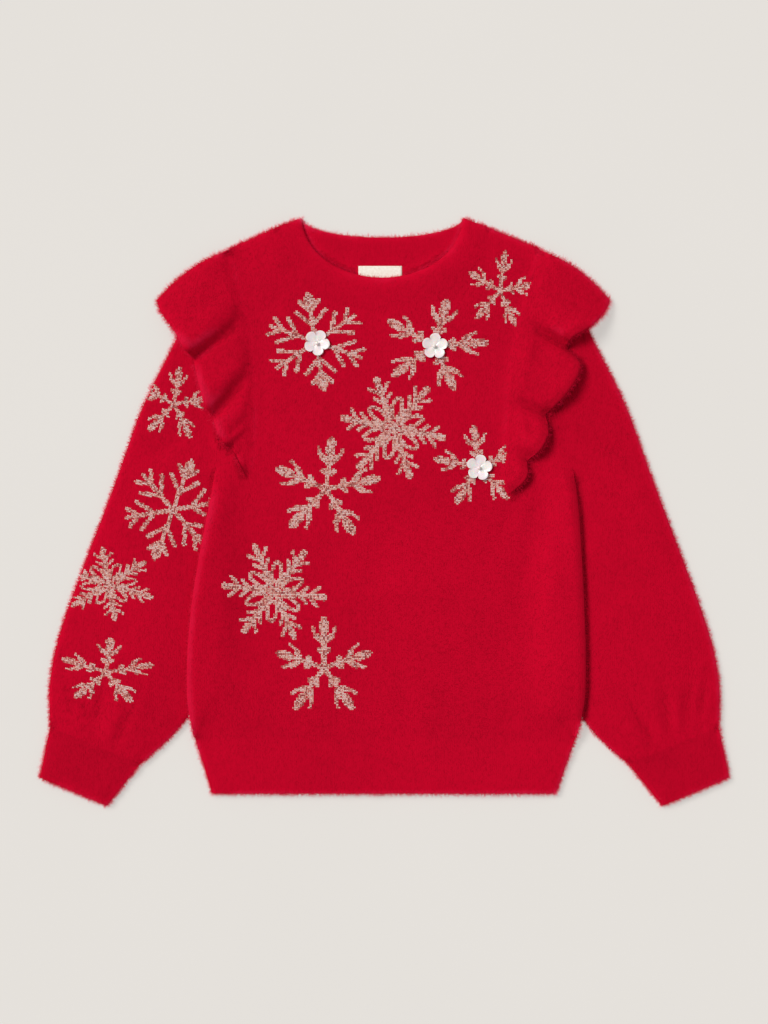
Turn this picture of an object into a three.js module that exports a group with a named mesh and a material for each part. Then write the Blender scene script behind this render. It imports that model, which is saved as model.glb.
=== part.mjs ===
// A child's pullover in deep-pile knit, laid flat on a surface with its front up and its arms down.
// Millimetres. +X points to the wearer's left, +Y to the neck and +Z up from the surface.
// The origin is on the surface, in the middle of the garment's outline.
// Every wall reaches as far as its pile does.
import * as THREE from "three";

// Driving sizes
const wall = 3; // knit with its pile
const seamGap = 0.3;
const shoulder = { x: 141, y: 242.5 };
const neck = { halfWidth: 74.5, top: 270, frontDrop: 55.5, backDrop: 18, band: 25, slope: 0.37, side: -2 };
const underarmY = 62;
const ribTopY = -205;
const hem = { y: -258.5, left: 157.5, right: -158 };
const cuff = {
  topOuter: { x: 307, y: -197 },
  topInner: { x: 223.5, y: -231 },
  endOuter: { x: 317, y: -243.5 },
  endInner: { x: 254.5, y: -270 },
};
const ruffleCloth = { wall: 2.4, clear: 0.9 };
const labelSize = { width: 40, height: 16, thickness: 0.6, corner: 1.5 };

// How the body climbs over a sleeve's edge, and the fullness that the layers keep
const climb = { before: 30, run: 20, top: underarmY - 4, down: 46, slope: 0.05 };
const air = { height: 1.6, fromSide: 40, fromShoulder: 30, shoulderSlope: 0.4 };
const blouse = { height: 3.4, y: -176, spread: 24, fromSide: 30 };
const forearm = { height: 2.6, from: 0.35, to: 0.75, end: 0.1 };
const gathers = { height: 0.9, from: 0.72, to: 0.92, waves: 2.5 };
const ruffleRest = { step: 4, run: 16, settle: 2, droop: 4.4, past: 6, reach: 38 };
const border = { inset: 2.6, sink: 0.45 * wall };

// Each body edge from the rib to the shoulder, as worn: x at a height y
const bodyEdge = [
  { y: -205, right: -174.5, left: 176 },
  { y: -190, right: -179.5, left: 182 },
  { y: -160, right: -181.5, left: 184.5 },
  { y: -95, right: -178, left: 183.5 },
  { y: -28, right: -167.5, left: 180 },
  { y: 18, right: -158, left: 176.5 },
  { y: 62, right: -150, left: 166 },
  { y: 95, right: -143, left: 153.5 },
  { y: 140, right: -137, left: 142 },
  { y: 190, right: -136, left: 138 },
  { y: 242.5, right: -141, left: 141 },
];

// The sleeve's underarm fold, which the body's side lies over
const sleeveInner = [
  { y: -231, right: -223.5, left: 223.5 },
  { y: -212, right: -200, left: 200 },
  { y: -190, right: -181.5, left: 182 },
  { y: -178, right: -171, left: 173 },
  { y: -155, right: -161, left: 164 },
  { y: -120, right: -158, left: 163 },
  { y: -60, right: -161, left: 170 },
  { y: -20, right: -163.5, left: 177 },
  { y: 12, right: -160.6, left: 178.6 },
  { y: 36, right: -156.4, left: 174.6 },
  { y: 62, right: -151, left: 167 },
];

// The sleeve's outer fold, the same on both sides
const sleeveOuter = [
  { y: -197, x: 307 },
  { y: -175, x: 309 },
  { y: -155, x: 308.5 },
  { y: -129, x: 303.5 },
  { y: -92, x: 292 },
  { y: -28, x: 268 },
  { y: 36, x: 244 },
  { y: 102, x: 220.5 },
  { y: 164, x: 188 },
  { y: 205, x: 172 },
  { y: 228, x: 157 },
  { y: 242.5, x: 141.6 },
];

// Ruffle sections from the shoulder down: root on the sewn line, tip at the free edge,
// rise of the free edge over what it lies on, and the section's sideways bow
const ruffleSections = {
  right: [
    { rootX: 141, rootY: 241, tipX: 209, tipY: 194, rise: 0, bow: 6 },
    { rootX: 137, rootY: 226, tipX: 205, tipY: 183, rise: 3, bow: 4 },
    { rootX: 131, rootY: 205, tipX: 193, tipY: 167, rise: 7, bow: 2 },
    { rootX: 126, rootY: 189, tipX: 183, tipY: 149, rise: 11, bow: 0 },
    { rootX: 124, rootY: 183, tipX: 178, tipY: 144, rise: 5, bow: 0 },
    { rootX: 122, rootY: 177, tipX: 175.5, tipY: 141, rise: 0.5, bow: 0 },
    { rootX: 119, rootY: 158, tipX: 171, tipY: 121, rise: 4.5, bow: 2 },
    { rootX: 117, rootY: 139, tipX: 164, tipY: 97, rise: 9, bow: 0 },
    { rootX: 116.5, rootY: 133, tipX: 160, tipY: 91, rise: 4, bow: 0 },
    { rootX: 116, rootY: 127, tipX: 157.5, tipY: 88, rise: 0.5, bow: 0 },
    { rootX: 115.5, rootY: 110, tipX: 153.5, tipY: 74, rise: 4.5, bow: 2 },
    { rootX: 115.5, rootY: 94, tipX: 147, tipY: 63, rise: 7.5, bow: 0 },
    { rootX: 115.5, rootY: 89, tipX: 143, tipY: 60, rise: 3, bow: 0 },
    { rootX: 116, rootY: 83, tipX: 139.5, tipY: 57.5, rise: 0.5, bow: 0 },
    { rootX: 116.5, rootY: 62, tipX: 132, tipY: 42, rise: 4, bow: 1 },
    { rootX: 117, rootY: 38, tipX: 123, tipY: 25, rise: 1, bow: 0 },
  ],
  left: [
    { rootX: 141, rootY: 241, tipX: 207, tipY: 194, rise: 0, bow: 6 },
    { rootX: 135, rootY: 224, tipX: 202, tipY: 183, rise: 4, bow: 4 },
    { rootX: 129, rootY: 204, tipX: 187, tipY: 168, rise: 9, bow: 2 },
    { rootX: 125, rootY: 188, tipX: 172, tipY: 160, rise: 11, bow: 0 },
    { rootX: 123, rootY: 181, tipX: 167, tipY: 154, rise: 5, bow: 0 },
    { rootX: 121, rootY: 174, tipX: 168, tipY: 149.5, rise: 0.5, bow: 0 },
    { rootX: 117, rootY: 156, tipX: 180, tipY: 135, rise: 6, bow: 3 },
    { rootX: 113, rootY: 133, tipX: 170, tipY: 113, rise: 10, bow: 3 },
    { rootX: 110, rootY: 117, tipX: 155, tipY: 96, rise: 6, bow: 0 },
    { rootX: 109.5, rootY: 108, tipX: 147.5, tipY: 90, rise: 0.5, bow: 0 },
    { rootX: 109.5, rootY: 92, tipX: 150.5, tipY: 74, rise: 5, bow: 2 },
    { rootX: 108.5, rootY: 74, tipX: 143, tipY: 57, rise: 8, bow: 1 },
    { rootX: 107.5, rootY: 64, tipX: 134, tipY: 50, rise: 3.5, bow: 0 },
    { rootX: 107, rootY: 58, tipX: 130.5, tipY: 46.5, rise: 0.5, bow: 0 },
    { rootX: 105.5, rootY: 44, tipX: 131, tipY: 32, rise: 4.5, bow: 1 },
    { rootX: 105, rootY: 30, tipX: 113, tipY: 15, rise: 1, bow: 0 },
  ],
};

// Flower-shaped sequins, each over the middle of a knitted snowflake
const flowers = [
  { name: "one", x: -62, y: 154.5, turn: 0.32 },
  { name: "two", x: 45.5, y: 152, turn: 0.02 },
  { name: "three", x: 86.5, y: 40.5, turn: 0.16 },
];
const flower = { petals: 5, radius: 12.6, waist: 0.74, cup: 2.4, thickness: 0.9, beadRadius: 1.7 };

// Mesh steps
const steps = {
  columns: 18,
  shoulder: 3,
  side: 10,
  armhole: 8,
  rib: 2,
  sleeve: 14,
  band: 2,
  ruffle: 3,
  reach: 5,
  petal: 6,
};

const knit = { color: 0xb4001e, roughness: 0.95, metalness: 0 };
const pearl = { color: 0xeeeae6, roughness: 0.25, metalness: 0 };
const tape = { color: 0xf0e6da, roughness: 0.8, metalness: 0 };

const clamp = THREE.MathUtils.clamp;
const lerp = THREE.MathUtils.lerp;
const ease = (t) => THREE.MathUtils.smoothstep(t, 0, 1);
const indices = (count) => [...Array(count).keys()];
const mix = (a, b, t) => new THREE.Vector2(lerp(a.x, b.x, t), lerp(a.y, b.y, t));

// A table's column at a height y, on a smooth curve through its rows.
function read(rows, column, y) {
  const last = rows.length - 1;
  const k = clamp(rows.findIndex((row) => row.y >= y) - 1, 0, last - 1);
  const from = y > rows[last].y ? last - 1 : k;
  const slope = (n) => {
    const a = rows[Math.max(n - 1, 0)];
    const b = rows[Math.min(n + 1, last)];
    return (b[column] - a[column]) / (b.y - a.y);
  };
  const span = rows[from + 1].y - rows[from].y;
  const t = clamp((y - rows[from].y) / span, 0, 1);
  const between = lerp(rows[from][column], rows[from + 1][column], 3 * t ** 2 - 2 * t ** 3);
  return between + span * (slope(from) * (t ** 3 - 2 * t ** 2 + t) + slope(from + 1) * (t ** 3 - t ** 2));
}

// Heights of the stacked layers

const sleeveTop = 2 * wall + 2 * seamGap;
const sideOf = (x) => (x < 0 ? "right" : "left");

// How far the body's panels are raised where they lie over a sleeve.
function lift(x, y) {
  const past = Math.abs(x) - Math.abs(read(sleeveInner, sideOf(x), y));
  const across = ease((past + climb.before) / climb.run);
  const down = y < sleeveInner[0].y ? 0 : ease((climb.top - y) / climb.down);
  return across * down * (sleeveTop + seamGap + climb.slope * Math.max(past, 0));
}

const insideSeam = (x, y) => Math.abs(read(bodyEdge, sideOf(x), y)) - Math.abs(x);

// The air between the front and the back, which closes at the side and shoulder seams.
function airHeight(x, y) {
  const fromShoulder = shoulder.y + air.shoulderSlope * (shoulder.x - Math.abs(x)) - y;
  return air.height * ease(insideSeam(x, y) / air.fromSide) * ease(fromShoulder / air.fromShoulder);
}

// The front's fullness over the rib, in uneven soft swells.
function blouseHeight(x, y) {
  const along = Math.exp(-(((y - blouse.y) / blouse.spread) ** 2));
  const swell = 0.6 + 0.25 * Math.sin(x / 21 + 0.6) + 0.15 * Math.sin(x / 11.5);
  return blouse.height * along * swell * ease(insideSeam(x, y) / blouse.fromSide);
}

const backLow = (x, y) => lift(x, y);
const frontLow = (x, y) => lift(x, y) + wall + seamGap + airHeight(x, y) + blouseHeight(x, y);

// Shapes made of two skins

// One closed wall between two grids of points, outer[j][i] and inner[j][i]. A ring closes on itself along i.
function wallBetween(outer, inner, ring = false) {
  const rows = outer.length;
  const columns = outer[0].length;
  const points = [...outer.flat(), ...inner.flat()];
  const index = [];
  const at = (skin, j, i) => (skin * rows + j) * columns + (i % columns);
  const quad = (a, b, c, d) => index.push(a, b, c, a, c, d);
  const across = ring ? columns : columns - 1;
  for (let j = 0; j < rows - 1; j++)
    for (let i = 0; i < across; i++) {
      quad(at(0, j, i), at(0, j, i + 1), at(0, j + 1, i + 1), at(0, j + 1, i));
      quad(at(1, j, i), at(1, j + 1, i), at(1, j + 1, i + 1), at(1, j, i + 1));
    }
  const rim = (j, i, nextJ, nextI) =>
    quad(at(0, nextJ, nextI), at(0, j, i), at(1, j, i), at(1, nextJ, nextI));
  for (let i = 0; i < across; i++) {
    rim(0, i, 0, i + 1);
    rim(rows - 1, i + 1, rows - 1, i);
  }
  if (!ring)
    for (let j = 0; j < rows - 1; j++) {
      rim(j + 1, 0, j, 0);
      rim(j, columns - 1, j + 1, columns - 1);
    }
  const geometry = new THREE.BufferGeometry().setFromPoints(points);
  geometry.setIndex(index);
  geometry.computeVertexNormals();
  return geometry;
}

function piece(name, geometry, look) {
  const mesh = new THREE.Mesh(geometry, new THREE.MeshStandardMaterial(look));
  mesh.name = name;
  return mesh;
}

// A four-sided patch of plan points, [row][column], filled in between its four edges.
function patch(bottom, top, first, last) {
  const share = (edge) => {
    const along = [0];
    for (let k = 1; k < edge.length; k++) along.push(along[k - 1] + edge[k].distanceTo(edge[k - 1]));
    return along.map((d) => d / along.at(-1));
  };
  const us = share(bottom);
  const vs = share(last);
  return vs.map((v, j) =>
    us.map((u, i) => {
      const ends = mix(bottom[i], top[i], v).add(mix(first[j], last[j], u));
      return ends.sub(mix(mix(bottom[0], bottom.at(-1), u), mix(top[0], top.at(-1), u), v));
    }),
  );
}

// The grid with one more line of points close inside each border, where the wall's edge rounds over.
function withBorder(grid) {
  const insert = (line) => {
    const near = (a, b) => mix(a, b, Math.min(border.inset / a.distanceTo(b), 0.4));
    const [first, last] = [near(line[0], line[1]), near(line.at(-1), line.at(-2))];
    return [line[0], first, ...line.slice(1, -1), last, line.at(-1)];
  };
  const wide = grid.map(insert);
  const turned = wide[0].map((_, i) => insert(wide.map((row) => row[i])));
  return turned[0].map((_, j) => turned.map((column) => column[j]));
}

// A panel over a plan grid. Its low skin is at low(x, y), and the outer skin sinks at the borders.
function panel(grid, low, { crown = 0, under = false } = {}) {
  const rounded = withBorder(grid);
  const lastRow = rounded.length - 1;
  const lastColumn = rounded[0].length - 1;
  const skin = (height) =>
    rounded.map((row, j) =>
      row.map((p, i) => {
        const inward = Math.min(j, lastRow - j, i, lastColumn - i);
        return new THREE.Vector3(p.x, p.y, low(p.x, p.y) + height(inward));
      }),
    );
  const sink = (inward) => (inward === 0 ? border.sink : 0);
  const raise = (inward) => crown * Math.min(0.6 * inward, 1);
  const top = (inward) => wall + raise(inward) - (under ? 0 : sink(inward));
  const bottom = (inward) => (under ? sink(inward) : 0);
  return wallBetween(skin(top), skin(bottom));
}

// The body

const easedColumn = (i) => {
  const t = i / steps.columns;
  return 0.5 * t + 0.25 * (1 - Math.cos(Math.PI * t));
};

const bodyRows = [
  ...indices(steps.side).map((j) => lerp(ribTopY, underarmY, j / steps.side)),
  ...indices(steps.armhole + 1).map((j) => lerp(underarmY, shoulder.y, j / steps.armhole)),
];

const edgeLine = (side) => bodyRows.map((y) => new THREE.Vector2(read(bodyEdge, side, y), y));
const rowBetween = (right, left, y) =>
  indices(steps.columns + 1).map((i) => new THREE.Vector2(lerp(right, left, easedColumn(i)), y));

// One neck curve, from the right shoulder to the left. Out is 0 at the free edge and 1 at the band's seam.
function neckCurve(drop, out) {
  const count = steps.columns - 2 * steps.shoulder;
  const halfWidth = neck.halfWidth + out * neck.band * Math.cos(neck.slope);
  const sunk = out * neck.band * Math.sin(neck.slope);
  const top = neck.top - sunk;
  const fall = drop + out * neck.band - sunk;
  return indices(count + 1).map((i) => {
    const angle = Math.PI * (i / count - 0.5);
    return new THREE.Vector2(neck.side + halfWidth * Math.sin(angle), top - fall * Math.cos(angle));
  });
}

function topLine(drop) {
  const curve = neckCurve(drop, 1 + seamGap / neck.band);
  const point = (side) => new THREE.Vector2(read(bodyEdge, side, shoulder.y), shoulder.y);
  const run = (from, to) => indices(steps.shoulder).map((i) => mix(from, to, i / steps.shoulder));
  return [...run(point("right"), curve[0]), ...curve, ...run(point("left"), curve.at(-1)).reverse()];
}

const bodyGrid = (drop) =>
  patch(
    rowBetween(bodyEdge[0].right, bodyEdge[0].left, ribTopY + seamGap),
    topLine(drop),
    edgeLine("right"),
    edgeLine("left"),
  );

const ribGrid = () =>
  indices(steps.rib + 1).map((j) => {
    const t = j / steps.rib;
    const right = lerp(hem.right, bodyEdge[0].right, t);
    const left = lerp(hem.left, bodyEdge[0].left, t);
    return rowBetween(right, left, lerp(hem.y, ribTopY, t));
  });

const bandGrid = (drop) => indices(steps.band + 1).map((j) => neckCurve(drop, 1 - j / steps.band));

// The sleeves and cuffs

// The insets of a flat tube's points from its folds, and how much of the half height they have
const foldOuter = [
  { inset: 0, rise: 0 },
  { inset: 0.9, rise: 0.66 },
];
const foldInner = [
  { inset: wall, rise: 0 },
  { inset: wall + 0.5, rise: 0.8 },
];

// A tube laid flat over a plan grid whose columns run from its outer fold to its underarm fold.
function flatTube(grid, loft) {
  const half = sleeveTop / 2;
  const skin = (folds, height) =>
    grid.map((row, j) => {
      const width = row[0].distanceTo(row.at(-1));
      const count = row.length - 1;
      const fold = (end, next) =>
        folds.map((f) => ({ plan: mix(end, next, (f.inset * count) / width), rise: f.rise, puff: 0 }));
      const middle = row.slice(1, -1).map((plan, i) => ({
        plan,
        rise: 1,
        puff: loft(j / (grid.length - 1), (i + 1) / count),
      }));
      const across = [...fold(row[0], row[1]), ...middle, ...fold(row.at(-1), row.at(-2)).reverse()];
      const upper = ({ plan, rise, puff }) => new THREE.Vector3(plan.x, plan.y, half + height * rise + puff);
      const lower = ({ plan, rise }) => new THREE.Vector3(plan.x, plan.y, half - height * rise);
      return [...across.map(upper), ...across.slice(1, -1).map(lower).reverse()];
    });
  return wallBetween(skin(foldOuter, half), skin(foldInner, half - wall), true);
}

// Flips the way round of a grid's columns on the wearer's right, so that its faces point out there too.
const facing = (grid, sign) => (sign > 0 ? grid.map((row) => [...row].reverse()) : grid);

function sleeveGrid(side, sign) {
  const along = indices(steps.sleeve + 1).map((j) => j / steps.sleeve);
  const outer = along.map((t) => {
    const y = lerp(shoulder.y, cuff.topOuter.y, t);
    return new THREE.Vector2(sign * read(sleeveOuter, "x", y), y);
  });
  const inner = along.map((t) => {
    const y = lerp(underarmY, cuff.topInner.y, t);
    return new THREE.Vector2(read(sleeveInner, side, y), y);
  });
  const armhole = indices(steps.armhole + 1).map((i) => {
    const y = lerp(shoulder.y, underarmY, i / steps.armhole);
    return new THREE.Vector2(read(bodyEdge, side, y) + sign * 2 * seamGap, y);
  });
  outer[0] = armhole[0];
  armhole[steps.armhole] = inner[0];
  return patch(armhole, cuffRow(sign, cuff.topOuter, cuff.topInner), outer, inner);
}

function cuffRow(sign, outer, inner) {
  return indices(steps.armhole + 1).map((i) => {
    const p = mix(outer, inner, i / steps.armhole);
    return new THREE.Vector2(sign * p.x, p.y);
  });
}

function cuffGrid(sign) {
  const away = seamGap / new THREE.Vector2().subVectors(cuff.topOuter, cuff.endOuter).length();
  return indices(steps.rib + 1).map((j) => {
    const t = lerp(away, 1, j / steps.rib);
    return cuffRow(sign, mix(cuff.topOuter, cuff.endOuter, t), mix(cuff.topInner, cuff.endInner, t));
  });
}

// The forearm's fullness, with soft gathers just above the cuff.
function sleeveLoft(along, across) {
  const crown = Math.sin(Math.PI * across);
  const start = ease((along - forearm.from) / (forearm.to - forearm.from));
  const full = forearm.height * start * ease((1 - along) / forearm.end);
  const nearCuff = ease((along - gathers.from) / (gathers.to - gathers.from));
  const wave = gathers.height * nearCuff * (1 + Math.cos(2 * Math.PI * gathers.waves * across));
  return full * crown ** 2 + wave * crown;
}

// The ruffles

// The height that a ruffle rests at: over the front panel, then the sleeve, then down past the sleeve's fold.
function restHeight(x, y) {
  const edge = Math.abs(read(bodyEdge, sideOf(x), y));
  const onPanel = frontLow(Math.sign(x) * Math.min(Math.abs(x), edge - 1), y) + wall;
  const onSleeve = Math.max(sleeveTop, onPanel - ruffleRest.settle);
  const over = ease((Math.abs(x) - edge - ruffleRest.step) / ruffleRest.run);
  const past = Math.abs(x) - read(sleeveOuter, "x", y);
  const droop = ruffleRest.droop * ease((past + ruffleRest.past) / ruffleRest.reach);
  return lerp(onPanel, onSleeve, over) - droop;
}

function ruffle(side, sign) {
  const sections = ruffleSections[side];
  const roots = new THREE.CatmullRomCurve3(sections.map((s) => new THREE.Vector3(s.rootX, s.rootY, 0)));
  const tips = new THREE.CatmullRomCurve3(sections.map((s) => new THREE.Vector3(s.tipX, s.tipY, s.rise)));
  const bows = new THREE.SplineCurve(sections.map((s) => new THREE.Vector2(s.bow, 0)));
  const count = steps.ruffle * (sections.length - 1);
  const grid = indices(count + 1).map((j) => {
    const root = roots.getPoint(j / count);
    const tip = tips.getPoint(j / count);
    const bow = bows.getPoint(j / count).x;
    const way = new THREE.Vector2(tip.x - root.x, tip.y - root.y).normalize();
    return indices(steps.reach + 1).map((i) => {
      const t = i / steps.reach;
      const off = bow * Math.sin(Math.PI * t);
      const x = sign * (lerp(root.x, tip.x, t) - off * way.y);
      const y = lerp(root.y, tip.y, t) + off * way.x;
      const z = restHeight(x, y) + ruffleCloth.clear + ruffleCloth.wall / 2 + Math.max(tip.z, 0) * t ** 1.25;
      return new THREE.Vector3(x, y, z);
    });
  });
  const at = (j, i) => grid[clamp(j, 0, count)][clamp(i, 0, steps.reach)];
  const offset = (amount) =>
    grid.map((row, j) =>
      row.map((p, i) => {
        const along = new THREE.Vector3().subVectors(at(j + 1, i), at(j - 1, i));
        const out = new THREE.Vector3().subVectors(at(j, i + 1), at(j, i - 1));
        const normal = new THREE.Vector3().crossVectors(out, along).normalize();
        return p.clone().addScaledVector(normal, normal.z < 0 ? -amount : amount);
      }),
    );
  const upper = offset(ruffleCloth.wall / 2);
  const lower = offset(-ruffleCloth.wall / 2);
  return sign > 0 ? wallBetween(lower, upper) : wallBetween(upper, lower);
}

// The trims

// A cupped sequin, an open rosette of round petals, around a small hole for its thread.
function petals() {
  const around = steps.petal * flower.petals;
  const rings = [0.1, 0.55, 1];
  const skin = (raise) =>
    rings.map((share) =>
      indices(around).map((i) => {
        const angle = (2 * Math.PI * i) / around;
        const lobe = lerp(flower.waist, 1, Math.abs(Math.cos((flower.petals * angle) / 2)) ** 0.7);
        const r = flower.radius * share * lerp(1, lobe, share);
        return new THREE.Vector3(r * Math.cos(angle), r * Math.sin(angle), raise + flower.cup * share ** 2);
      }),
    );
  return wallBetween(skin(0), skin(flower.thickness), true);
}

function label() {
  const { width, height, thickness, corner } = labelSize;
  const outline = new THREE.Shape();
  const w = width / 2 - corner;
  const h = height / 2 - corner;
  outline.absarc(w, h, corner, 0, Math.PI / 2);
  outline.absarc(-w, h, corner, Math.PI / 2, Math.PI);
  outline.absarc(-w, -h, corner, Math.PI, 1.5 * Math.PI);
  outline.absarc(w, -h, corner, 1.5 * Math.PI, 2 * Math.PI);
  return new THREE.ExtrudeGeometry(outline, { depth: thickness, bevelEnabled: false, curveSegments: 3 });
}

const sweater = new THREE.Group();

sweater.add(piece("front_panel", panel(bodyGrid(neck.frontDrop), frontLow), knit));
sweater.add(piece("back_panel", panel(bodyGrid(neck.backDrop), backLow, { under: true }), knit));
sweater.add(piece("rib_front", panel(ribGrid(), frontLow), knit));
sweater.add(piece("rib_back", panel(ribGrid(), backLow, { under: true }), knit));
sweater.add(piece("neckband_front", panel(bandGrid(neck.frontDrop), frontLow, { crown: 0.7 }), knit));
sweater.add(piece("neckband_back", panel(bandGrid(neck.backDrop), backLow, { under: true }), knit));

for (const { side, sign } of [
  { side: "right", sign: -1 },
  { side: "left", sign: 1 },
]) {
  sweater.add(piece(`sleeve_${side}`, flatTube(facing(sleeveGrid(side, sign), -sign), sleeveLoft), knit));
  sweater.add(piece(`cuff_${side}`, flatTube(facing(cuffGrid(sign), -sign), () => 0), knit));
  sweater.add(piece(`ruffle_${side}`, ruffle(side, sign), knit));
}

const labelMesh = piece("neck_label", label(), tape);
const bandSeamY = neck.top - neck.backDrop - neck.band;
labelMesh.position.set(neck.side - 2, bandSeamY - 1 - labelSize.height / 2, wall + seamGap);
sweater.add(labelMesh);

for (const { name, x, y, turn } of flowers) {
  const place = new THREE.Group();
  place.position.set(x, y, frontLow(x, y) + wall + seamGap);
  place.rotation.z = turn;
  place.add(piece(`flower_${name}`, petals(), pearl));
  const bead = piece(`bead_${name}`, new THREE.SphereGeometry(flower.beadRadius, 10, 7), pearl);
  bead.position.z = flower.thickness + seamGap + flower.beadRadius;
  place.add(bead);
  sweater.add(place);
}

export default sweater;
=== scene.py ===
import math

import bmesh
import bpy
import numpy as np
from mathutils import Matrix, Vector
from mathutils.bvhtree import BVHTree


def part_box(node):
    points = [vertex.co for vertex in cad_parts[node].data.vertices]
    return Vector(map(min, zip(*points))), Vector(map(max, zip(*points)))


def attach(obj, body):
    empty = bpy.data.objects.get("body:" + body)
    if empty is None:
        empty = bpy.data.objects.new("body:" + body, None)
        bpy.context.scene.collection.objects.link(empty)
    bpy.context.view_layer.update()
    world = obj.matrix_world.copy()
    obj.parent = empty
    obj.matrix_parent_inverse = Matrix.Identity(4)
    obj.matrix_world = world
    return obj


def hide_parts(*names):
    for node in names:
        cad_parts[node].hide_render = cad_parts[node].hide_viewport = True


MM = 0.001
UP = np.array([0.0, 0.0, 1.0])

# The photograph's frame, seen from straight above
PHOTO = {"height": 1024, "mm_per_pixel": 0.92}
CAMERA_DISTANCE = 2.4
SENSOR = 36.0

# The cloth pieces: subdivisions of the shell, the pile's blades per square millimetre, blade length in
# millimetres, any deeper tone, and the cut that shows, as width, length and area (twice the laid area on a
# tube).
CLOTH = {
    "front_panel": {"levels": 2, "density": 1.4, "length": 3.7, "cut": (0.366, 0.464, 0.146)},
    "back_panel": {"levels": 2, "density": 1.4, "length": 3.4, "cut": (0.366, 0.464, 0.152)},
    "rib_front": {"levels": 2, "density": 1.4, "length": 3.4, "cut": (0.351, 0.054, 0.0178)},
    "rib_back": {"levels": 1, "density": 1.4, "length": 3.4, "cut": (0.351, 0.054, 0.0178)},
    "neckband_front": {"levels": 2, "density": 1.5, "length": 3.4, "cut": (0.26, 0.026, 0.0059)},
    "neckband_back": {"levels": 2, "density": 1.5, "length": 3.0, "cut": (0.21, 0.026, 0.0046)},
    "sleeve_right": {"levels": 2, "density": 1.4, "length": 3.7, "cut": (0.26, 0.475, 0.105)},
    "sleeve_left": {"levels": 2, "density": 1.4, "length": 3.7, "cut": (0.26, 0.475, 0.105)},
    "cuff_right": {"levels": 2, "density": 1.4, "length": 3.5, "shade": 0.08, "cut": (0.18, 0.048, 0.0078)},
    "cuff_left": {"levels": 2, "density": 1.4, "length": 3.5, "shade": 0.08, "cut": (0.18, 0.048, 0.0078)},
    "ruffle_right": {"levels": 2, "density": 1.5, "length": 4.2, "cut": (0.3, 0.07, 0.0125)},
    "ruffle_left": {"levels": 2, "density": 1.5, "length": 4.2, "cut": (0.3, 0.07, 0.0125)},
}
RESTS_ON = {
    "front_panel": ["back_panel"],
    "rib_front": ["rib_back"],
    "neckband_front": ["front_panel"],
    "ruffle_right": ["front_panel", "sleeve_right"],
    "ruffle_left": ["front_panel", "sleeve_left"],
}

# Soft troughs (negative) and ridges in the cloth: the x and y of the middle, the way it runs in degrees, and
# the length, width and height. Lengths are in millimetres.
CREASES = {
    "front_panel": [
        (-158, -192, 70, 22, 9, -0.9),
        (-45, -192, 84, 26, 8, -0.9),
        (17, -183, 96, 30, 9, -0.8),
        (54, -184, 100, 26, 7, -0.8),
        (112, -188, 82, 20, 8, -0.7),
        (-104, -188, 95, 20, 10, -0.6),
        (167, 58, 103, 26, 5, -1.6),
        (150, -60, 84, 90, 10, 1.3),
        (132, -30, 78, 70, 9, -1.0),
        (120, 8, 62, 45, 8, -1.0),
        (-128, 10, 112, 48, 10, -0.9),
        (-96, 205, 62, 26, 9, -0.8),
        (92, 226, 118, 22, 8, -0.7),
        (20, -70, 15, 70, 16, 0.7),
    ],
    "sleeve_right": [
        (-195, 62, 20, 40, 12, -1.6),
        (-216, 20, 55, 60, 9, 0.9),
        (-240, -95, 68, 70, 9, -0.8),
        (-276, -178, 100, 26, 5, -1.8),
        (-262, -184, 84, 30, 5, -2.0),
        (-240, -196, 66, 26, 5, -2.0),
        (-290, -172, 98, 20, 4, -1.6),
    ],
    "sleeve_left": [
        (196, 60, 156, 36, 12, -1.5),
        (168, 56, 103, 28, 5, -2.0),
        (226, -40, 112, 80, 9, -0.8),
        (250, -100, 114, 60, 10, 0.9),
        (278, -176, 82, 28, 5, -1.8),
        (259, -186, 98, 30, 5, -2.0),
        (238, -198, 118, 26, 5, -2.0),
        (292, -170, 84, 20, 4, -1.6),
    ],
    "ruffle_right": [
        (-146, 165, 41, 34, 6, -2.2),
        (-156, 178, 40, 32, 10, 2.0),
        (-138, 113, 44, 28, 6, -2.5),
        (-146, 126, 42, 24, 9, 1.8),
        (-134, 79, 43, 17, 5, -2.0),
        (-142, 90, 40, 15, 6, 1.3),
        (-136, 216, 62, 20, 9, 0.8),
        (-127, 44, 118, 26, 10, -2.8),
        (-134, 45, 118, 22, 6, -1.8),
    ],
    "ruffle_left": [
        (158, 157, 150, 34, 6, -2.7),
        (170, 175, 150, 34, 11, 2.2),
        (136, 92, 160, 26, 6, -2.2),
        (154, 120, 148, 28, 11, 2.0),
        (130, 51, 156, 18, 5, -1.9),
        (128, 140, 74, 34, 7, 1.3),
        (146, 138, 128, 24, 6, -1.4),
        (134, 76, 110, 12, 4, -1.2),
        (138, 66, 150, 16, 7, 1.4),
    ],
}

# Hollows in the skins that rest on the surface, in the same way, raised from it
CREASES_BELOW = {
    "back_panel": [
        (-96, 150, 74, 80, 8, 1.2),
        (104, 128, 102, 64, 9, 1.1),
        (-20, 40, 8, 90, 12, 1.0),
        (62, -60, 66, 75, 7, 1.2),
        (-118, -84, 98, 60, 10, 0.9),
        (14, -168, 88, 28, 7, 1.2),
        (96, -172, 95, 22, 6, 1.0),
        (-70, -174, 82, 24, 8, 1.1),
    ],
    "sleeve_right": [
        (-212, 30, 64, 70, 8, 1.1),
        (-262, -96, 76, 46, 7, 1.0),
        (-250, -178, 80, 24, 5, 1.2),
    ],
    "sleeve_left": [
        (206, 48, 118, 58, 9, 1.1),
        (240, -52, 104, 64, 7, 1.0),
        (268, -176, 96, 26, 5, 1.2),
    ],
}

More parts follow.
